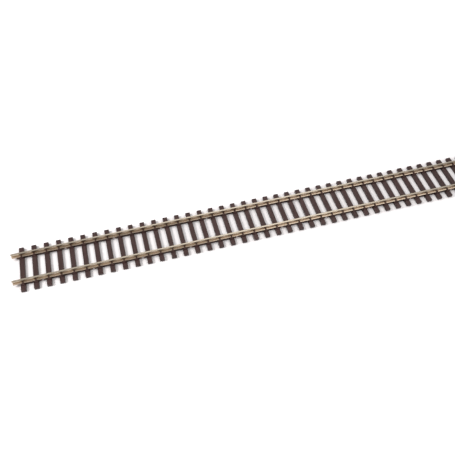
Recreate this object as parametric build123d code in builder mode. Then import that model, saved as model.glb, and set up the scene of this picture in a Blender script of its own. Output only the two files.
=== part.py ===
from build123d import *
import os

# Flexible model railway track of 16.5 mm gauge, one length as it is sold.
# Two drawn metal rails slide in the chairs of a moulded sleeper base. The base is a row of
# equal sleeper panels, and each panel hooks into the underside of the next one.
# Millimetres. The origin is on the ground in the middle of the track, X runs along the
# track, Y points to the left rail and Z is up.

# Track
gauge = 16.5  # between the inner faces of the two rail heads
rail_length = 335.0
left_overhang = 5.3  # from the rails' left ends to the first sleeper's centre
panel_count = 6
sleepers_per_panel = 8

# Rail section, with its foot standing at height 0
rail_height = 2.54
head_width = 1.0
head_side = 0.62  # height of the head's upright side
head_underside_rise = 0.13
head_radius = 0.2
web_width = 0.6
foot_width = 2.15
foot_edge = 0.28
foot_at_web = 0.5
rail_edge_radius = 0.06

# Sleeper
sleeper_pitch = 6.86
sleeper_length = 28.6
sleeper_width = 2.7
sleeper_height = 1.6
sleeper_draft = 0.05  # each side leans in by this much from the ground to the top

# Chair, measured from the sleeper's top and the rail's centre line
seat_rise = 0.06
rail_clearance = 0.03
chair_root = 0.3  # how deep a chair starts inside its sleeper
plate_length = 1.7
shoulder_rise = 0.3
shoulder_reach = 2.2
shoulder_inner_width = 1.4
shoulder_outer_width = 2.1
shoulder_bevel = 0.16
clip_width = 1.15
clip_tip = 0.48  # how near the lip comes to the rail's centre line
clip_tip_height = 0.95
clip_shoulder_height = 0.78
clip_thickness = 0.5

# Links under the rails, which hold the sleepers together
link_width = 1.9
link_height = 0.95
slot_width = 1.1
slot_period = 4  # each rail's links are cut once in this many bays

# Hooked joint between two panels
joint_clearance = 0.05
neck_width = 1.0
neck_length = 0.75
hook_width = 1.8
hook_length = 0.75
hook_height = 0.7

# Worked out from the dimensions above
rail_offset = (gauge + head_width) / 2
rail_base = sleeper_height + seat_rise + rail_clearance
head_base = rail_height - head_side
foot_gap_edge = foot_width / 2 + rail_clearance
bottom_width = sleeper_width + 2 * sleeper_draft
panel_length = sleepers_per_panel * sleeper_pitch
first_sleeper = left_overhang - rail_length / 2
stub_end = (sleeper_pitch - slot_width) / 2


def make_rail(side):
    """One rail: its section at the left end, extruded along the track."""
    section_plane = Plane(
        origin=(-rail_length / 2, side * rail_offset, rail_base),
        x_dir=(0, 1, 0),
        z_dir=(1, 0, 0),
    )
    with BuildPart() as rail:
        with BuildSketch(section_plane) as section:
            with BuildLine():
                Polyline(
                    (0, 0),
                    (foot_width / 2, 0),
                    (foot_width / 2, foot_edge),
                    (web_width / 2, foot_at_web),
                    (web_width / 2, head_base - head_underside_rise),
                    (head_width / 2, head_base),
                    (head_width / 2, rail_height),
                    (0, rail_height),
                )
                mirror(about=Plane.YZ)
            make_face()
            fillet(section.vertices().group_by(Axis.Y)[-1], head_radius)
            fillet(section.vertices().group_by(Axis.Y)[1], rail_edge_radius)
        extrude(amount=rail_length)
    return rail


def make_sleeper():
    """One sleeper on the ground, with mould draft on its four sides."""
    with BuildPart() as sleeper:
        with BuildSketch(Plane.XY):
            Rectangle(bottom_width, sleeper_length)
        with BuildSketch(Plane.XY.offset(sleeper_height)):
            Rectangle(sleeper_width, sleeper_length - 2 * sleeper_draft)
        loft()
    return sleeper


def make_chair():
    """One chair: seat, two shoulders beside the foot and two clips over it.

    It stands on the sleeper's top at height 0, with the rail's centre line at Y 0.
    """
    with BuildPart() as chair:
        # Half of the chair, on the side of positive Y
        with BuildSketch(Plane.XY.offset(-chair_root)):
            with Locations((0, foot_gap_edge / 2)):
                Rectangle(plate_length, foot_gap_edge)
        extrude(amount=chair_root + seat_rise)
        with BuildSketch(Plane.XY.offset(-chair_root)):
            with BuildLine():
                Polyline(
                    (-shoulder_inner_width / 2, foot_gap_edge),
                    (-shoulder_outer_width / 2, shoulder_reach),
                    (shoulder_outer_width / 2, shoulder_reach),
                    (shoulder_inner_width / 2, foot_gap_edge),
                    close=True,
                )
            make_face()
        extrude(amount=chair_root + shoulder_rise)
        outer_edge = chair.faces().sort_by(Axis.Y)[-1].edges().sort_by(Axis.Z)[-1]
        chamfer(outer_edge, shoulder_bevel)
        with BuildSketch(Plane.YZ):
            with BuildLine():
                Polyline(
                    (foot_gap_edge, -chair_root),
                    (foot_gap_edge, seat_rise + foot_edge + 2 * rail_clearance),
                    (clip_tip, seat_rise + foot_at_web),
                    (clip_tip, clip_tip_height),
                    (foot_gap_edge, clip_shoulder_height),
                    (foot_gap_edge + clip_thickness, shoulder_rise),
                    (foot_gap_edge + clip_thickness, -chair_root),
                    close=True,
                )
            make_face()
        extrude(amount=clip_width / 2, both=True)
        mirror(about=Plane.XZ)
    return chair


def link_span(bay_start, start, end, side, height=link_height, width=link_width):
    """A straight bar under one rail, from start to end after the sleeper at bay_start."""
    with BuildSketch(Plane.XY) as bar:
        with Locations((bay_start + (start + end) / 2, side * rail_offset)):
            Rectangle(end - start, width)
    extrude(bar.sketch, amount=height)


def make_panel(with_hook):
    """A row of sleepers with chairs and links. The first sleeper's centre is at X 0."""
    sleeper = make_sleeper()
    chair = make_chair()
    sleeper_places = [index * sleeper_pitch for index in range(sleepers_per_panel)]
    with BuildPart() as panel:
        with Locations(*[(x, 0, 0) for x in sleeper_places]):
            add(sleeper.part)
        for index, place in enumerate(sleeper_places):
            last = index == sleepers_per_panel - 1
            # The left rail's links are cut after every fourth sleeper of the row, and the
            # right rail's links two sleepers further on.
            left_slot = (index + 1) % slot_period == 0
            right_slot = (index + 1) % slot_period == slot_period // 2
            for side, slot in ((1, left_slot), (-1, right_slot)):
                if slot:
                    link_span(place, 0, stub_end, side)
                    if not last:
                        link_span(place, sleeper_pitch - stub_end, sleeper_pitch, side)
                elif not last:
                    link_span(place, 0, sleeper_pitch, side)
        # The stub before the first sleeper, on the side where the row's links are cut
        link_span(-sleeper_pitch, sleeper_pitch - stub_end, sleeper_pitch, 1)
        with Locations(
            *[(x, side * rail_offset, sleeper_height) for x in sleeper_places for side in (-1, 1)]
        ):
            add(chair.part)
        if with_hook:
            hook_tongue(sleeper_places[-1])
        hook_pocket()
    return panel


def hook_tongue(place):
    """The tongue from the last sleeper, with a T head that lies under the next sleeper."""
    next_face = sleeper_pitch - bottom_width / 2
    neck_end = next_face + neck_length + joint_clearance
    link_span(place, 0, next_face - joint_clearance, -1)
    link_span(place, 0, neck_end, -1, hook_height, neck_width)
    link_span(place, neck_end, neck_end + hook_length - joint_clearance, -1, hook_height, hook_width)


def hook_pocket():
    """The T-shaped pocket in the underside of a panel's first sleeper."""
    face = -bottom_width / 2
    neck_end = face + neck_length
    hook_end = neck_end + hook_length + joint_clearance
    with BuildSketch(Plane.XY) as pocket:
        with Locations(((face + neck_end) / 2, -rail_offset)):
            Rectangle(neck_end - face, neck_width + 2 * joint_clearance)
        with Locations(((neck_end + hook_end) / 2, -rail_offset)):
            Rectangle(hook_end - neck_end, hook_width + 2 * joint_clearance)
    extrude(pocket.sketch, amount=hook_height + joint_clearance, mode=Mode.SUBTRACT)


def write_piece(part, name):
    """Label a finished piece and write it under its own name."""
    part.label = name
    export_step(part, f"parts/{name}.step")


os.makedirs("parts", exist_ok=True)

for rail_name, rail_side in (("left_rail", 1), ("right_rail", -1)):
    write_piece(make_rail(rail_side).part, rail_name)

hooked_panel = make_panel(with_hook=True)
end_panel = make_panel(with_hook=False)
for number in range(panel_count):
    last_panel = number == panel_count - 1
    source_panel = end_panel if last_panel else hooked_panel
    with BuildPart() as sleeper_panel:
        with Locations((first_sleeper + number * panel_length, 0, 0)):
            add(source_panel.part)
    write_piece(sleeper_panel.part, f"sleeper_panel_{number + 1:02d}")
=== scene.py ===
import math

import bmesh
import bpy
import numpy as np
from mathutils import Matrix, Vector


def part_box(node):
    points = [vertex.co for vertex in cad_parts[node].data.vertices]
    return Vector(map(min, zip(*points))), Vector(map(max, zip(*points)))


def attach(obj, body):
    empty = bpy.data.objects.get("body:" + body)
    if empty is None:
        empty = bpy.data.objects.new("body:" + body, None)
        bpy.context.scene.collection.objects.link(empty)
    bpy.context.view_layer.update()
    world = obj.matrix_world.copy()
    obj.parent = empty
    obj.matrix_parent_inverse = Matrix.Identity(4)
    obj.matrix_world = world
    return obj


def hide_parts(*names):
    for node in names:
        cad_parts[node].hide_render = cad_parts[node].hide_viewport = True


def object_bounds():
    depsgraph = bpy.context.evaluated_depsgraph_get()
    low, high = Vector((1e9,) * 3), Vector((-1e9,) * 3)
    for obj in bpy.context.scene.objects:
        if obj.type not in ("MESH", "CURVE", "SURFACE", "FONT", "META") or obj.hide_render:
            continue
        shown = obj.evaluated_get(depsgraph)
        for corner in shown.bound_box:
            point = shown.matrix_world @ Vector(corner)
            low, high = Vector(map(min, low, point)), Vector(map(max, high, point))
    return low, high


# Flexible model railway track: the drawn metal rails are the CAD model's own, and each moulded
# sleeper panel is a detailed mesh with real wood-grain relief that stands for its CAD node.
# Everything is built in the CAD model's frame. Sizes are in millimetres, and only the floor,
# the lamps and the camera are given in metres, as Blender has them.

MM = 0.001

# ---- what the mouldings repeat from the CAD model ----
SLEEPERS_PER_PANEL = 8
SLOT_PERIOD = 4
SLOT_WIDTH = 1.1
SLEEPER_HEIGHT = 1.6
SLEEPER_TOP_WIDTH = 2.7
SLEEPER_DRAFT = 0.05
SEAT_RISE = 0.06
RAIL_CLEARANCE = 0.03
FOOT_WIDTH = 2.15
FOOT_EDGE = 0.28
FOOT_AT_WEB = 0.5
CHAIR_ROOT = 0.3
PLATE_LENGTH = 1.7
SHOULDER_RISE = 0.3
SHOULDER_REACH = 2.2
SHOULDER_INNER_WIDTH = 1.4
SHOULDER_OUTER_WIDTH = 2.1
CLIP_TIP = 0.48
CLIP_TIP_HEIGHT = 0.95
CLIP_SHOULDER_HEIGHT = 0.78
CLIP_THICKNESS = 0.5
LINK_WIDTH = 1.9
LINK_HEIGHT = 0.95
JOINT_CLEARANCE = 0.05
NECK_WIDTH = 1.0
NECK_LENGTH = 0.75
HOOK_WIDTH = 1.8
HOOK_LENGTH = 0.75
HOOK_HEIGHT = 0.7
FOOT_GAP_EDGE = FOOT_WIDTH / 2 + RAIL_CLEARANCE
BOTTOM_WIDTH = SLEEPER_TOP_WIDTH + 2 * SLEEPER_DRAFT

# ---- sleeper surface ----
EDGE_RADIUS = 0.11
EDGE_RING = 0.45  # where the extra line over a rounded edge lies, as a share of its radius
EDGE_WEAR = 0.05  # how far a sleeper's worn edges wander inwards
WEAR_LENGTH = 1.3  # how long their waves are
GRAIN_DEPTH = 0.07
SIDE_GRAIN_DEPTH = 0.03
END_GRAIN_DEPTH = 0.04
SIDE_GRAIN_STRETCH = 0.8  # a side's height counts this many times across its grain
END_GRAIN_STRETCH = 3.0  # and an end's height this many times along it
GRID_X = 0.075  # spacing of a sleeper's mesh across, along and up
GRID_Y = 0.45
GRID_Z = 0.12
NOISE_CELLS = 64
FIRST_SEED = 11  # each sleeper of a panel has seeds of its own
SEED_STEP = 7
SIDE_SEED = 100
END_SEED = 200
WEAR_SEED = 300

# ---- chairs and links, where the visual model is finer than the CAD model ----
BEVEL_SEGMENTS = 3
SHOULDER_BEVEL = 0.07
CLIP_WIDTH = 0.95  # slimmer than the CAD model's clips, which look too heavy over the foot
CLIP_BEVEL = 0.05
CLIP_TIP_CUT = (0.1, 0.08)  # across and up
CLIP_BEND = (0.6, 0.32)  # a share of its thickness, and the height over the shoulder
SPIKE_RADIUS = 0.16
SPIKE_RISE = 0.13
SPIKE_ROOT = 0.1
SPIKE_SIDES = 10
SPIKE_X = 0.71  # from the middle of the chair
SPIKE_Y = 1.76
LINK_BEVEL = 0.12
TONGUE_ROOT = 1.0  # how far the tongue and the pocket's cutter start before the sleeper's side
POCKET_ROOT = 0.5  # how far that cutter starts below the ground
SHARP_ANGLE = 38  # degrees; flatter edges are shaded smooth
LIT_END_REACH = 0.13  # how far the painted highlight on a stub's end reaches
ABOVE_SLEEPER = 0.002  # a point this little over a sleeper's top still counts as on it
ABOVE_LINK = 0.01  # and the same for a link

# ---- colours and finish of the mouldings and the rails ----
PLASTIC_DARK = (0.020, 0.0075, 0.0070)
PLASTIC_MIDDLE = (0.031, 0.0125, 0.0118)
PLASTIC_DRY = (0.056, 0.026, 0.023)
PLASTIC_PATCH = (0.032, 0.018, 0.017)
PLASTIC_GROOVE_SHADE = (0.018, 0.009, 0.008)
PLASTIC_LOW_SHADE = (0.021, 0.008, 0.006)
PLASTIC_CLIP_HIGHLIGHT = (0.105, 0.056, 0.042)
PLASTIC_BAND = (0.014, 0.0065, 0.006)
PLASTIC_LIT_END = (0.21, 0.13, 0.10)
PLASTIC_SPECULAR_TINT = (1.0, 0.72, 0.68, 1.0)
PLASTIC_ROUGHNESS = (0.44, 0.30)  # from the dark streaks to the pale ones
RAIL_FOOT = ((0.60, 0.495, 0.385), (0.74, 0.628, 0.50))  # from one draw line to the next
RAIL_FOOT_WARM = (0.65, 0.49, 0.36)
RAIL_WEB = ((0.62, 0.49, 0.36), (0.50, 0.38, 0.27))
RAIL_HEAD = ((0.41, 0.35, 0.278), (0.52, 0.448, 0.356))
RAIL_FOOT_EDGE_SHADE = (0.27, 0.17, 0.115)
RAIL_SAWN = (0.46, 0.41, 0.31)
RAIL_SAWN_EDGE = (0.03, 0.01)  # how far inside a rail's end that colour starts and is full
RAIL_ROUGHNESS = (0.22, 0.34)
NOISE_ROUGHNESS = 0.55  # of the noise in every material

# ---- floor and sky ----
PAPER = (0.9, 0.868, 0.868, 1.0)
PAPER_ROUGHNESS = 0.9
PAPER_SPECULAR = 0.1
PAPER_GLOW = 0.6  # strength away from the track
GLOW_EDGE = (-0.4, 5.0)  # millimetres past the track's box: where the glow starts and is full
GLOW_FADE = (900.0, 3200.0)  # millimetres from the middle: where it starts to fade and is gone
FLOOR_HALF = 4.0  # metres
FLOOR_DROP = 0.00002  # metres under the track, so that the two don't share a plane
SKY = 0.49
SKY_GLOW = 1.5  # how much brighter the sky is in the middle of its soft light
SKY_GLOW_DIRECTION = (0.24, 0.95, 1.35)
SKY_GLOW_REACH = 21  # degrees from that direction

# ---- lamps: place, target, size in metres and power in watts ----
KEY_PLACE = (-0.46, 0.13, 0.52)  # from the first sleeper's foot
KEY_TARGET = (-0.02, 0.0, 0.0)
KEY_SIZE = 0.17
KEY_CONE = 36  # degrees
KEY_WATTS = 23.0
SIDE_PLACE = (0.24, 0.1, 0.5)
SIDE_TARGET = (0.22, 0.08, 0.0)
SIDE_SIZE = 0.45
SIDE_WATTS = 0.56
FRONT_PLACE = (0.12, -0.28, 0.36)
FRONT_TARGET = (0.08, 0.0, 0.0)
FRONT_SIZE = 0.2
FRONT_WATTS = 0.29

# ---- camera ----
CAMERA_TURN = (15.573, 54.076, 0.455)  # degrees: azimuth, how steeply it looks down, roll
CAMERA_PLACE = (0.067158, -0.178303, 0.253662)  # metres from the first sleeper's foot
SENSOR_WIDTH = 36.0
LENS = 42.389

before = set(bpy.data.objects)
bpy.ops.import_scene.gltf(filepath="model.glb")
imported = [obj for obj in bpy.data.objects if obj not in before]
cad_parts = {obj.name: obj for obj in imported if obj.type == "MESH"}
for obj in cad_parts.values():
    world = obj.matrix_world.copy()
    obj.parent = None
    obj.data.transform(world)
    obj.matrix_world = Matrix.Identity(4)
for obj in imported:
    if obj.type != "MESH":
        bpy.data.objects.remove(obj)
cad_low, cad_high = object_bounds()


# ---- places, all read from the CAD model ----
def in_mm(value):
    return value / MM


panel_names = sorted(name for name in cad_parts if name.startswith("sleeper_panel"))
panel_lows = [in_mm(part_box(name)[0].x) for name in panel_names]
panel_step = panel_lows[1] - panel_lows[0]
PITCH = panel_step / SLEEPERS_PER_PANEL
STUB_END = (PITCH - SLOT_WIDTH) / 2
first_sleepers = [low + STUB_END for low in panel_lows]
left_end = first_sleepers[0] * MM
sleeper_low, sleeper_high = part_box(panel_names[0])
SLEEPER_LENGTH = in_mm(sleeper_high.y - sleeper_low.y)
rail_low, rail_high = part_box("left_rail")
RAIL_OFFSET = in_mm(rail_low.y + rail_high.y) / 2


# ---- smooth noise ----
def noise_table(seed):
    """A square table of random numbers from 0 to 1."""
    return np.random.default_rng(seed).random((NOISE_CELLS, NOISE_CELLS))


def smooth_noise(table, u, v):
    """Value noise at (u, v), one table cell to a unit, smooth and repeatable."""
    iu = np.floor(u).astype(int)
    iv = np.floor(v).astype(int)
    fu = u - iu
    fv = v - iv
    fu = fu * fu * (3 - 2 * fu)
    fv = fv * fv * (3 - 2 * fv)
    n = table.shape[0]
    low = table[iu % n, iv % n] * (1 - fu) + table[(iu + 1) % n, iv % n] * fu
    high = table[iu % n, (iv + 1) % n] * (1 - fu) + table[(iu + 1) % n, (iv + 1) % n] * fu
    return low * (1 - fv) + high * fv


def grain(seed, across, along):
    """Depth of sawn timber's grain, 0 to 1, for places in millimetres across and along it.

    Each layer is given by its cell's size; the numbers added keep the layers apart in the table.
    """
    table = noise_table(seed)
    # The grain's lines wander sideways.
    bend = 0.35 * smooth_noise(table, along / 6.0, across / 1.6 + 9.0)
    bend += 0.12 * smooth_noise(table, along / 1.7 + 20.0, across / 0.7)
    # Wide layers open into splits, and fine ones lie between them.
    wide = smooth_noise(table, (across + bend) / 0.24 + 31.0, along / 7.5)
    fine = smooth_noise(table, (across + bend) / 0.13 + 5.0, along / 3.2 + 40.0)
    split = np.clip((0.42 - wide) / 0.22, 0, 1)
    return np.clip(0.62 * split + 0.38 * (1 - fine), 0, 1)


# ---- mesh building blocks ----
def grid_lines(half, spacing):
    """Places from -half to half, closer together over the rounded edges."""
    inner = half - EDGE_RADIUS
    count = max(1, round(2 * inner / spacing))
    rim = [half, half - EDGE_RING * EDGE_RADIUS]
    return np.array([-p for p in rim] + list(np.linspace(-inner, inner, count + 1)) + rim[::-1])


def height_lines(height, spacing):
    """Places from 0 to height, closer together at the rounded top."""
    inner = height - EDGE_RADIUS
    count = max(1, round(inner / spacing))
    rim = [height - EDGE_RING * EDGE_RADIUS, height]
    return np.array(list(np.linspace(0, inner, count + 1)) + rim)


def sleeper_relief(seed, position, normal):
    """How far each point of one sleeper lies under its plain surface, and its grain from 0 to 1."""
    x, y, z = position.T
    top = grain(seed, x, y)
    side = grain(seed + SIDE_SEED, z * SIDE_GRAIN_STRETCH, y)
    end = grain(seed + END_SEED, x, z * END_GRAIN_STRETCH)
    facing = normal**2
    up = np.where(normal[:, 2] > 0, facing[:, 2], 0)
    depth = up * GRAIN_DEPTH * top
    depth = depth + facing[:, 0] * SIDE_GRAIN_DEPTH * side
    depth = depth + facing[:, 1] * END_GRAIN_DEPTH * end
    # Worn edges: where the top meets a side, the normal shares itself out between them, and
    # four times the product is 1 halfway round.
    corner = 4 * (facing[:, 0] * facing[:, 2] + facing[:, 1] * facing[:, 2])
    wander = smooth_noise(noise_table(seed + WEAR_SEED), y / WEAR_LENGTH, x / WEAR_LENGTH + 7.0)
    depth = depth + corner * EDGE_WEAR * wander
    return depth, up * top + facing[:, 0] * side + facing[:, 1] * end


def rounded_position(points, half_x, half_y, height):
    """Box surface points moved onto a box with rounded top and upright edges, with their normals."""
    inner = np.stack(
        [
            np.clip(points[:, 0], EDGE_RADIUS - half_x, half_x - EDGE_RADIUS),
            np.clip(points[:, 1], EDGE_RADIUS - half_y, half_y - EDGE_RADIUS),
            np.minimum(points[:, 2], height - EDGE_RADIUS),
        ],
        axis=1,
    )
    out = points - inner
    length = np.linalg.norm(out, axis=1, keepdims=True)
    normal = out / np.maximum(length, 1e-9)
    return inner + normal * EDGE_RADIUS, normal


def sleeper_surface(seed):
    """One sleeper's points and faces: a rounded box with grain sunk into it, centred on X and Y."""
    xs = grid_lines(SLEEPER_TOP_WIDTH / 2, GRID_X)
    ys = grid_lines(SLEEPER_LENGTH / 2, GRID_Y)
    zs = height_lines(SLEEPER_HEIGHT, GRID_Z)
    i, j, k = np.meshgrid(range(len(xs)), range(len(ys)), range(len(zs)), indexing="ij")
    rim = (i == 0) | (i == len(xs) - 1) | (j == 0) | (j == len(ys) - 1)
    shell = rim | (k == len(zs) - 1)
    number = np.full(shell.shape, -1)
    number[shell] = np.arange(shell.sum())
    box_points = np.stack([xs[i[shell]], ys[j[shell]], zs[k[shell]]], axis=1)
    points, normals = rounded_position(
        box_points, SLEEPER_TOP_WIDTH / 2, SLEEPER_LENGTH / 2, SLEEPER_HEIGHT
    )
    depth, _ = sleeper_relief(seed, points, normals)
    points = points - normals * depth[:, None]
    points[:, 0] *= 1 + (1 - points[:, 2] / SLEEPER_HEIGHT) * SLEEPER_DRAFT * 2 / SLEEPER_TOP_WIDTH

    def quads(a, b, c, d):
        return np.stack([a.ravel(), b.ravel(), c.ravel(), d.ravel()], axis=1).tolist()

    top = number[:, :, -1]
    left, right = number[0], number[-1]
    front, back = number[:, 0], number[:, -1]
    faces = quads(top[:-1, :-1], top[1:, :-1], top[1:, 1:], top[:-1, 1:])
    faces += quads(left[:-1, :-1], left[:-1, 1:], left[1:, 1:], left[1:, :-1])
    faces += quads(right[:-1, :-1], right[1:, :-1], right[1:, 1:], right[:-1, 1:])
    faces += quads(front[:-1, :-1], front[1:, :-1], front[1:, 1:], front[:-1, 1:])
    faces += quads(back[:-1, :-1], back[:-1, 1:], back[1:, 1:], back[1:, :-1])
    # The underside is one flat face.
    bottom = number[:, :, 0]
    loop = list(bottom[:, 0]) + list(bottom[-1, 1:])
    loop += list(bottom[-2::-1, -1]) + list(bottom[0, -2:0:-1])
    faces.append([int(v) for v in loop[::-1]])
    return points, faces


def prism(outline, axis, start, end, bevel):
    """A closed bar: an outline in the plane across axis, from start to end, with rounded edges.

    For axis "x" the outline is in (y, z), and for axis "z" it is in (x, y).
    """
    bar = bmesh.new()
    rings = []
    for at in (start, end):
        if axis == "x":
            rings.append([bar.verts.new((at, a, b)) for a, b in outline])
        else:
            rings.append([bar.verts.new((a, b, at)) for a, b in outline])
    bar.faces.new(rings[0][::-1])
    bar.faces.new(rings[1])
    for n in range(len(outline)):
        m = (n + 1) % len(outline)
        bar.faces.new((rings[0][n], rings[0][m], rings[1][m], rings[1][n]))
    bmesh.ops.recalc_face_normals(bar, faces=bar.faces)
    if bevel:
        bmesh.ops.bevel(
            bar, geom=bar.edges[:], offset=bevel, segments=BEVEL_SEGMENTS, profile=0.5,
            affect="EDGES", clamp_overlap=True,
        )
    points = np.array([v.co for v in bar.verts], float)
    bar.verts.index_update()
    faces = [[v.index for v in f.verts] for f in bar.faces]
    bar.free()
    return points, faces


def mirrored(shape):
    """The same shape on the other side of the rail's centre line."""
    points, faces = shape
    return points * (1, -1, 1), [f[::-1] for f in faces]


def moved(shape, x=0.0, y=0.0, z=0.0):
    points, faces = shape
    return points + (x, y, z), faces


def rectangle(x0, x1, y0, y1):
    return [(x0, y0), (x1, y0), (x1, y1), (x0, y1)]


def add_object(name, mesh):
    """A new Blender object with this mesh, in the scene."""
    thing = bpy.data.objects.new(name, mesh)
    bpy.context.scene.collection.objects.link(thing)
    return thing


def remove_object(thing):
    """Removes an object and its mesh."""
    mesh = thing.data
    bpy.data.objects.remove(thing)
    bpy.data.meshes.remove(mesh)


def as_object(name, shapes):
    """One Blender mesh object, in metres, of several closed shapes."""
    points, faces, base = [], [], 0
    for shape_points, shape_faces in shapes:
        points.append(shape_points)
        faces += [[base + v for v in f] for f in shape_faces]
        base += len(shape_points)
    mesh = bpy.data.meshes.new(name)
    mesh.from_pydata((np.concatenate(points) * MM).tolist(), [], faces)
    mesh.update()
    return add_object(name, mesh)


# ---- the parts of a chair, about the rail's centre line, on the sleeper's top at height 0 ----
def seat_plate():
    outline = rectangle(-PLATE_LENGTH / 2, PLATE_LENGTH / 2, -FOOT_GAP_EDGE, FOOT_GAP_EDGE)
    return prism(outline, "z", -CHAIR_ROOT, SEAT_RISE, 0)


def shoulder():
    """The widening block beside the rail's foot."""
    outline = [
        (-SHOULDER_INNER_WIDTH / 2, FOOT_GAP_EDGE),
        (SHOULDER_INNER_WIDTH / 2, FOOT_GAP_EDGE),
        (SHOULDER_OUTER_WIDTH / 2, SHOULDER_REACH),
        (-SHOULDER_OUTER_WIDTH / 2, SHOULDER_REACH),
    ]
    return prism(outline, "z", -CHAIR_ROOT, SHOULDER_RISE, SHOULDER_BEVEL)


def clip():
    """The spring-like clip that rises beside the rail's foot and leans over it."""
    cut_across, cut_up = CLIP_TIP_CUT
    bend_share, bend_rise = CLIP_BEND
    outline = [
        (FOOT_GAP_EDGE, -CHAIR_ROOT),
        (FOOT_GAP_EDGE, SEAT_RISE + FOOT_EDGE + 2 * RAIL_CLEARANCE),
        (CLIP_TIP, SEAT_RISE + FOOT_AT_WEB),
        (CLIP_TIP, CLIP_TIP_HEIGHT - cut_up),
        (CLIP_TIP + cut_across, CLIP_TIP_HEIGHT),
        (FOOT_GAP_EDGE, CLIP_SHOULDER_HEIGHT),
        (FOOT_GAP_EDGE + bend_share * CLIP_THICKNESS, SHOULDER_RISE + bend_rise),
        (FOOT_GAP_EDGE + CLIP_THICKNESS, SHOULDER_RISE),
        (FOOT_GAP_EDGE + CLIP_THICKNESS, -CHAIR_ROOT),
    ]
    return prism(outline, "x", -CLIP_WIDTH / 2, CLIP_WIDTH / 2, CLIP_BEVEL)


def spike_head():
    """A small domed head, standing on a shoulder."""
    sides = SPIKE_SIDES
    # Each ring's share of the radius, and its height
    rings = [
        (1.0, -SPIKE_ROOT),
        (1.0, 0.45 * SPIKE_RISE),
        (0.75, 0.85 * SPIKE_RISE),
        (0.35, SPIKE_RISE),
    ]
    points, faces = [], []
    for share, height in rings:
        for n in range(sides):
            turn = 2 * math.pi * n / sides
            radius = share * SPIKE_RADIUS
            points.append((radius * math.cos(turn), radius * math.sin(turn), height))
    for ring in range(len(rings) - 1):
        for n in range(sides):
            m = (n + 1) % sides
            a, b = ring * sides, (ring + 1) * sides
            faces.append([a + n, a + m, b + m, b + n])
    faces.append(list(range(sides))[::-1])
    faces.append([(len(rings) - 1) * sides + n for n in range(sides)])
    return np.array(points), faces


# ---- one moulded panel ----
def link(start, end, side):
    """A link under one rail, from start to end along the track."""
    low = side * RAIL_OFFSET - LINK_WIDTH / 2
    outline = rectangle(start, end, low, low + LINK_WIDTH)
    return prism(outline, "z", 0.0, LINK_HEIGHT, LINK_BEVEL)


def panel_links(centres, hooked):
    """Every link and stub of a panel whose sleepers stand at centres."""
    bars = []
    for index, centre in enumerate(centres):
        last = index == len(centres) - 1
        left_slot = (index + 1) % SLOT_PERIOD == 0
        right_slot = (index + 1) % SLOT_PERIOD == SLOT_PERIOD // 2
        for side, slot in ((1, left_slot), (-1, right_slot)):
            if slot:
                bars.append(link(centre, centre + STUB_END, side))
                if not last:
                    bars.append(link(centre + PITCH - STUB_END, centre + PITCH, side))
            elif not last:
                bars.append(link(centre, centre + PITCH, side))
    bars.append(link(centres[0] - STUB_END, centres[0], 1))
    if hooked:
        bars.append(link(centres[-1], centres[-1] + PITCH - BOTTOM_WIDTH / 2 - JOINT_CLEARANCE, -1))
    return bars


def tongue_outline(face, slack):
    """The T of the hook joint, entering a sleeper's side at face, in (x, y)."""
    neck = NECK_WIDTH / 2 + slack
    head = HOOK_WIDTH / 2 + slack
    neck_end = face + NECK_LENGTH + JOINT_CLEARANCE - slack
    head_end = neck_end + HOOK_LENGTH - JOINT_CLEARANCE + 2 * slack
    middle = -RAIL_OFFSET
    start = face - TONGUE_ROOT
    return [
        (start, middle - neck),
        (neck_end, middle - neck),
        (neck_end, middle - head),
        (head_end, middle - head),
        (head_end, middle + head),
        (neck_end, middle + head),
        (neck_end, middle + neck),
        (start, middle + neck),
    ]


def combine(base, tool, operation):
    """Base with the tool's shapes joined on or taken away, and the tool removed."""
    step = base.modifiers.new("step", "BOOLEAN")
    step.operation = operation
    step.solver = "MANIFOLD"
    step.object = tool
    graph = bpy.context.evaluated_depsgraph_get()
    result = bpy.data.meshes.new_from_object(base.evaluated_get(graph))
    base.modifiers.clear()
    old = base.data
    base.data = result
    bpy.data.meshes.remove(old)
    remove_object(tool)


def seed_of(index):
    """The seed of a sleeper's grain: every panel comes from the same mould."""
    return FIRST_SEED + SEED_STEP * index


def store_grain(piece, centres):
    """Writes each point's grain and the stubs' ends, which get a painted highlight, to the mesh, for
    the material.
    """
    mesh = piece.data
    co = np.zeros(len(mesh.vertices) * 3, np.float32)
    mesh.vertices.foreach_get("co", co)
    co = co.reshape(-1, 3).astype(float) / MM
    on_sleeper = co[:, 2] < SLEEPER_HEIGHT + ABOVE_SLEEPER
    value = np.zeros(len(co))
    for index, centre in enumerate(centres):
        mine = (np.abs(co[:, 0] - centre) < PITCH / 2) & on_sleeper
        local = co[mine] - (centre, 0, 0)
        half = (SLEEPER_TOP_WIDTH / 2, SLEEPER_LENGTH / 2)
        normal = rounded_position(local, *half, SLEEPER_HEIGHT)[1]
        value[mine] = sleeper_relief(seed_of(index), local, normal)[1]
    # The ends of the stubs beside a slot get a painted highlight, paler as if lit.
    nearest = PITCH * np.round(co[:, 0] / PITCH)
    at_end = np.abs(np.abs(co[:, 0] - nearest) - STUB_END) < LIT_END_REACH
    lit_end = at_end & (co[:, 2] < LINK_HEIGHT + ABOVE_LINK)
    for label, numbers in (("grain", value), ("lit_end", lit_end)):
        layer = mesh.attributes.new(label, "FLOAT", "POINT")
        layer.data.foreach_set("value", numbers.astype(np.float32))


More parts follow.
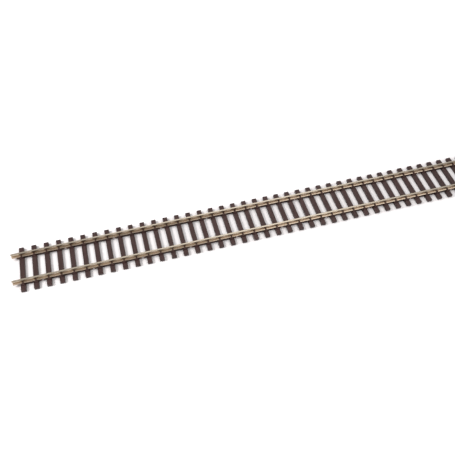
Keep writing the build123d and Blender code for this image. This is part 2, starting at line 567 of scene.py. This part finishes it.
def make_panel(name, hooked):
    """One moulded panel with its first sleeper's centre at X 0, as a single closed mesh."""
    centres = [n * PITCH for n in range(SLEEPERS_PER_PANEL)]
    piece = as_object(name, [moved(sleeper_surface(seed_of(n)), x) for n, x in enumerate(centres)])
    seats = [(x, side * RAIL_OFFSET, SLEEPER_HEIGHT) for x in centres for side in (-1, 1)]

    def at_seats(*shapes):
        return [moved(shape, *seat) for seat in seats for shape in shapes]

    one_shoulder, one_clip, head = shoulder(), clip(), spike_head()
    heads = [
        moved(head, x, y, SHOULDER_RISE)
        for x in (-SPIKE_X, SPIKE_X)
        for y in (-SPIKE_Y, SPIKE_Y)
    ]
    additions = (
        ("plates", at_seats(seat_plate())),
        ("shoulders", at_seats(one_shoulder, mirrored(one_shoulder))),
        ("clips", at_seats(one_clip, mirrored(one_clip))),
        ("heads", at_seats(*heads)),
        ("links", panel_links(centres, hooked)),
    )
    for label, shapes in additions:
        combine(piece, as_object(label, shapes), "UNION")
    if hooked:
        face = centres[-1] + PITCH - BOTTOM_WIDTH / 2
        tongue = prism(tongue_outline(face, 0.0), "z", 0.0, HOOK_HEIGHT, 0)
        combine(piece, as_object("tongue", [tongue]), "UNION")
    pocket_outline = tongue_outline(-BOTTOM_WIDTH / 2, JOINT_CLEARANCE)
    pocket = prism(pocket_outline, "z", -POCKET_ROOT, HOOK_HEIGHT + JOINT_CLEARANCE, 0)
    combine(piece, as_object("pocket", [pocket]), "DIFFERENCE")
    store_grain(piece, centres)
    piece.data.shade_smooth()
    piece.data.set_sharp_from_angle(angle=math.radians(SHARP_ANGLE))
    return piece


# ---- materials ----
def grey(value):
    return (value, value, value)


class Nodes:
    """A material's node tree, with short calls for the nodes it is made of."""

    def __init__(self, name):
        self.material = bpy.data.materials.new(name)
        self.material.use_nodes = True
        self.tree = self.material.node_tree
        self.shader = self.tree.nodes["Principled BSDF"]

    def add(self, kind, **settings):
        node = self.tree.nodes.new(kind)
        for key, value in settings.items():
            setattr(node, key, value)
        return node

    def link(self, source, target):
        self.tree.links.new(source, target)

    def place(self, scale):
        """Object coordinates in millimetres, stretched by scale along X, Y and Z."""
        coordinates = self.add("ShaderNodeTexCoord")
        mapping = self.add("ShaderNodeMapping")
        mapping.inputs["Scale"].default_value = [s / MM for s in scale]
        self.link(coordinates.outputs["Object"], mapping.inputs["Vector"])
        return mapping.outputs["Vector"]

    def position(self):
        """The X, Y and Z of each point in millimetres, as the outputs of one node."""
        node = self.add("ShaderNodeSeparateXYZ")
        self.link(self.place((1, 1, 1)), node.inputs["Vector"])
        return node.outputs

    def attribute(self, name):
        return self.add("ShaderNodeAttribute", attribute_name=name).outputs["Fac"]

    def noise(self, scale, detail):
        node = self.add("ShaderNodeTexNoise")
        node.inputs["Scale"].default_value = 1.0
        node.inputs["Detail"].default_value = detail
        node.inputs["Roughness"].default_value = NOISE_ROUGHNESS
        self.link(self.place(scale), node.inputs["Vector"])
        return node.outputs["Fac"]

    def ramp(self, factor, *stops):
        """The colours of stops, each an (at, colour) pair, blended by factor."""
        node = self.add("ShaderNodeValToRGB")
        elements = node.color_ramp.elements
        while len(elements) < len(stops):
            elements.new(0.5)
        for element, (at, colour) in zip(elements, stops):
            element.position = at
            element.color = (*colour, 1.0)
        self.link(factor, node.inputs["Fac"])
        return node.outputs["Color"]

    def span(self, value, from_low, from_high, to_low, to_high):
        """The value carried from one range over to another, and held at its ends."""
        node = self.add("ShaderNodeMapRange")
        for key, number in (
            ("From Min", from_low), ("From Max", from_high), ("To Min", to_low), ("To Max", to_high),
        ):
            node.inputs[key].default_value = number
        self.link(value, node.inputs["Value"])
        return node.outputs["Result"]

    def mix(self, factor, first, second):
        """First where factor is 0 and second where it is 1; each is a colour or an output."""
        node = self.add("ShaderNodeMix", data_type="RGBA")
        colours = [s for s in node.inputs if s.type == "RGBA"]
        for socket, value in zip([node.inputs[0], *colours], (factor, first, second)):
            if hasattr(value, "links"):
                self.link(value, socket)
            else:
                socket.default_value = (*value, 1.0)
        return [s for s in node.outputs if s.type == "RGBA"][0]

    def math(self, operation, *values):
        node = self.add("ShaderNodeMath", operation=operation)
        for value, socket in zip(values, node.inputs):
            self.link(value, socket)
        return node.outputs["Value"]

    def bump(self, height, distance, strength, normal=None):
        node = self.add("ShaderNodeBump")
        node.inputs["Distance"].default_value = distance * MM
        node.inputs["Strength"].default_value = strength
        self.link(height, node.inputs["Height"])
        if normal is not None:
            self.link(normal, node.inputs["Normal"])
        return node.outputs["Normal"]


def plastic_material():
    """Dark brown moulding plastic: painted shade darker in the grain's grooves, dry and paler on the
    ridges.
    """
    n = Nodes("sleeper_plastic_look")
    streaks = n.noise((4.2, 0.22, 1.6), detail=4.0)
    bands = n.noise((0.85, 0.09, 0.5), detail=2.0)
    patches = n.noise((0.09, 0.07, 0.09), detail=2.0)
    colour = n.ramp(streaks, (0.30, PLASTIC_DARK), (0.52, PLASTIC_MIDDLE), (0.75, PLASTIC_DRY))
    colour = n.mix(n.span(patches, 0.35, 0.65, 0.0, 0.35), colour, PLASTIC_PATCH)
    # Painted shade: darker in the grain's grooves.
    colour = n.mix(n.span(n.attribute("grain"), 0.15, 0.95, 0.0, 0.6), colour, PLASTIC_GROOVE_SHADE)
    # Painted shade: darker and redder towards the ground.
    height = n.position()["Z"]
    # Painted shade near the ground, on the sleepers' sides and the links.
    low = n.span(height, 0.2, SLEEPER_HEIGHT - 0.1, 0.45, 0.0)
    colour = n.mix(low, colour, PLASTIC_LOW_SHADE)
    # Painted highlight: paler where the clips stand over the foot.
    high = n.span(height, SLEEPER_HEIGHT + 0.25, SLEEPER_HEIGHT + 0.7, 0.0, 0.75)
    colour = n.mix(high, colour, PLASTIC_CLIP_HIGHLIGHT)
    colour = n.mix(n.span(bands, 0.35, 0.65, 0.45, 0.0), colour, PLASTIC_BAND)
    # Painted highlight on the stubs' ends beside a slot.
    colour = n.mix(n.span(n.attribute("lit_end"), 0.0, 1.0, 0.0, 0.9), colour, PLASTIC_LIT_END)
    n.link(colour, n.shader.inputs["Base Color"])
    n.link(n.span(streaks, 0.3, 0.7, *PLASTIC_ROUGHNESS), n.shader.inputs["Roughness"])
    n.shader.inputs["Specular IOR Level"].default_value = 0.5
    n.shader.inputs["Specular Tint"].default_value = PLASTIC_SPECULAR_TINT
    fine = n.noise((9.0, 1.2, 6.0), detail=3.0)
    pores = n.noise((14.0, 9.0, 14.0), detail=2.0)
    n.link(n.bump(pores, 0.01, 0.25, n.bump(fine, 0.03, 0.5)), n.shader.inputs["Normal"])
    return n.material


def rail_material():
    """Drawn nickel silver: bright on the foot, duller on the head, browner on the web, with painted
    shade on the foot's edge.
    """
    n = Nodes("nickel_silver_look")
    place = n.position()
    # From 0 at the rail's underside to 1 at its top
    height = n.span(place["Z"], in_mm(rail_low.z), in_mm(rail_high.z), 0.0, 1.0)
    web = n.ramp(height, (0.10, grey(0.0)), (0.24, grey(0.8)), (0.70, grey(0.8)), (0.78, grey(0.1)))
    head = n.ramp(height, (0.72, grey(0.0)), (0.80, grey(1.0)))
    # Painted shade along the foot's upright edge.
    foot_edge_shade = n.ramp(height, (0.08, grey(0.85)), (0.12, grey(0.0)))
    lines = n.noise((0.05, 9.0, 9.0), detail=4.0)
    clouds = n.noise((0.08, 0.5, 0.5), detail=3.0)
    foot_lines = n.ramp(lines, (0.35, RAIL_FOOT[0]), (0.65, RAIL_FOOT[1]))
    foot_colour = n.mix(n.span(clouds, 0.4, 0.7, 0.0, 0.45), foot_lines, RAIL_FOOT_WARM)
    web_colour = n.mix(n.span(clouds, 0.3, 0.7, 0.2, 0.8), *RAIL_WEB)
    head_colour = n.ramp(lines, (0.35, RAIL_HEAD[0]), (0.65, RAIL_HEAD[1]))
    colour = n.mix(head, n.mix(web, foot_colour, web_colour), head_colour)
    colour = n.mix(foot_edge_shade, colour, RAIL_FOOT_EDGE_SHADE)
    along = n.math("ABSOLUTE", place["X"])
    sawn_start, sawn_full = (in_mm(rail_high.x) - depth for depth in RAIL_SAWN_EDGE)
    colour = n.mix(n.span(along, sawn_start, sawn_full, 0.0, 1.0), colour, RAIL_SAWN)
    n.link(colour, n.shader.inputs["Base Color"])
    n.shader.inputs["Metallic"].default_value = 1.0
    n.link(n.span(lines, 0.3, 0.7, *RAIL_ROUGHNESS), n.shader.inputs["Roughness"])
    fine = n.noise((0.12, 22.0, 22.0), detail=3.0)
    n.link(n.bump(fine, 0.006, 0.6, n.bump(lines, 0.012, 0.5)), n.shader.inputs["Normal"])
    return n.material


def floor_material():
    """White paper, lit through from below, except under the track and towards the horizon."""
    n = Nodes("paper")
    n.shader.inputs["Base Color"].default_value = PAPER
    n.shader.inputs["Roughness"].default_value = PAPER_ROUGHNESS
    n.shader.inputs["Specular IOR Level"].default_value = PAPER_SPECULAR
    place = n.position()
    outside = []
    for axis, edge in (("X", in_mm(cad_high.x)), ("Y", in_mm(cad_high.y))):
        size = n.math("ABSOLUTE", place[axis])
        outside.append(n.span(size, edge + GLOW_EDGE[0], edge + GLOW_EDGE[1], 0.0, PAPER_GLOW))
    distance = n.add("ShaderNodeVectorMath", operation="LENGTH")
    n.link(n.place((1, 1, 1)), distance.inputs[0])
    far = n.span(distance.outputs["Value"], *GLOW_FADE, 1.0, 0.0)
    strength = n.math("MULTIPLY", n.math("MAXIMUM", *outside), far)
    n.link(strength, n.shader.inputs["Emission Strength"])
    n.shader.inputs["Emission Color"].default_value = (1.0, 1.0, 1.0, 1.0)
    return n.material


# ---- the scene round the track ----
def add_floor():
    mesh = bpy.data.meshes.new("floor")
    corners = rectangle(-FLOOR_HALF, FLOOR_HALF, -FLOOR_HALF, FLOOR_HALF)
    mesh.from_pydata([(x, y, 0) for x, y in corners], [], [(0, 1, 2, 3)])
    mesh.materials.append(floor_material())
    floor = add_object("floor", mesh)
    floor.location.z = -FLOOR_DROP


def from_left_end(offset):
    """A place given from the foot of the first sleeper, in metres."""
    return Vector((left_end + offset[0], offset[1], offset[2]))


def add_camera():
    """Looks down on the track from its right side, over the left end."""
    azimuth, elevation, roll = (math.radians(a) for a in CAMERA_TURN)
    level = Vector((math.cos(azimuth), -math.sin(azimuth), 0))
    forward = Vector(
        (
            math.sin(azimuth) * math.cos(elevation),
            math.cos(azimuth) * math.cos(elevation),
            -math.sin(elevation),
        )
    )
    upright = level.cross(forward)
    right = math.cos(roll) * level + math.sin(roll) * upright
    up = math.cos(roll) * upright - math.sin(roll) * level
    turn = Matrix((right, up, -forward)).transposed()
    data = bpy.data.cameras.new("camera")
    data.sensor_width = SENSOR_WIDTH
    data.lens = LENS
    camera = bpy.data.objects.new("camera", data)
    camera.matrix_world = Matrix.Translation(from_left_end(CAMERA_PLACE)) @ turn.to_4x4()
    bpy.context.scene.collection.objects.link(camera)
    bpy.context.scene.camera = camera


def add_lamp(name, kind, place, target, watts):
    """A lamp that shines from place towards target; its data is returned for its size."""
    data = bpy.data.lights.new(name, kind)
    data.energy = watts
    lamp = bpy.data.objects.new(name, data)
    lamp.location = place
    lamp.rotation_mode = "QUATERNION"
    lamp.rotation_quaternion = (Vector(target) - Vector(place)).to_track_quat("-Z", "Y")
    bpy.context.scene.collection.objects.link(lamp)
    return data


def add_disk(name, place, target, size, watts):
    """A round, soft lamp."""
    data = add_lamp(name, "AREA", place, target, watts)
    data.shape = "DISK"
    data.size = size


def add_sky():
    """An even white tent, brighter towards a soft light behind the track."""
    world = bpy.data.worlds.new("studio")
    world.use_nodes = True
    tree = world.node_tree
    background = tree.nodes["Background"]
    background.inputs["Color"].default_value = (1.0, 1.0, 1.0, 1.0)
    coordinates = tree.nodes.new("ShaderNodeTexCoord")
    towards = tree.nodes.new("ShaderNodeVectorMath")
    towards.operation = "DOT_PRODUCT"
    towards.inputs[1].default_value = Vector(SKY_GLOW_DIRECTION).normalized()
    glow = tree.nodes.new("ShaderNodeMapRange")
    glow.interpolation_type = "SMOOTHSTEP"
    glow.inputs["From Min"].default_value = math.cos(math.radians(SKY_GLOW_REACH))
    glow.inputs["From Max"].default_value = 1.0
    glow.inputs["To Min"].default_value = SKY
    glow.inputs["To Max"].default_value = SKY + SKY_GLOW
    tree.links.new(coordinates.outputs["Generated"], towards.inputs[0])
    tree.links.new(towards.outputs["Value"], glow.inputs["Value"])
    tree.links.new(glow.outputs["Result"], background.inputs["Strength"])
    bpy.context.scene.world = world


def add_lights():
    add_sky()
    key = add_lamp("key", "SPOT", from_left_end(KEY_PLACE), from_left_end(KEY_TARGET), KEY_WATTS)
    key.shadow_soft_size = KEY_SIZE
    key.spot_size = math.radians(KEY_CONE)
    key.spot_blend = 1.0
    add_disk("side", SIDE_PLACE, SIDE_TARGET, SIDE_SIZE, SIDE_WATTS)
    add_disk("front", FRONT_PLACE, FRONT_TARGET, FRONT_SIZE, FRONT_WATTS)


# ---- the track itself ----
def add_panels():
    """One moulding for each panel node; only the last panel has no tongue."""
    plastic = plastic_material()
    hooked = make_panel("hooked_panel", True)
    plain = make_panel("plain_panel", False)
    for number, (name, first) in enumerate(zip(panel_names, first_sleepers)):
        last = number == len(panel_names) - 1
        source = plain if last else hooked
        mesh = source.data.copy()
        mesh.transform(Matrix.Translation((first * MM, 0, 0)))
        mesh.materials.clear()
        mesh.materials.append(plastic)
        piece = add_object(name + "_moulding", mesh)
        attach(piece, "sleeper_base")
        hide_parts(name)
    for source in (hooked, plain):
        remove_object(source)


def dress_rails():
    """The rails are the CAD nodes themselves, with a metal of their own."""
    metal = rail_material()
    for name in ("left_rail", "right_rail"):
        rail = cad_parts[name]
        for slot in rail.material_slots:
            slot.material = metal


add_panels()
dress_rails()
add_floor()
add_lights()
add_camera()

bpy.context.scene.view_settings.view_transform = "Standard"
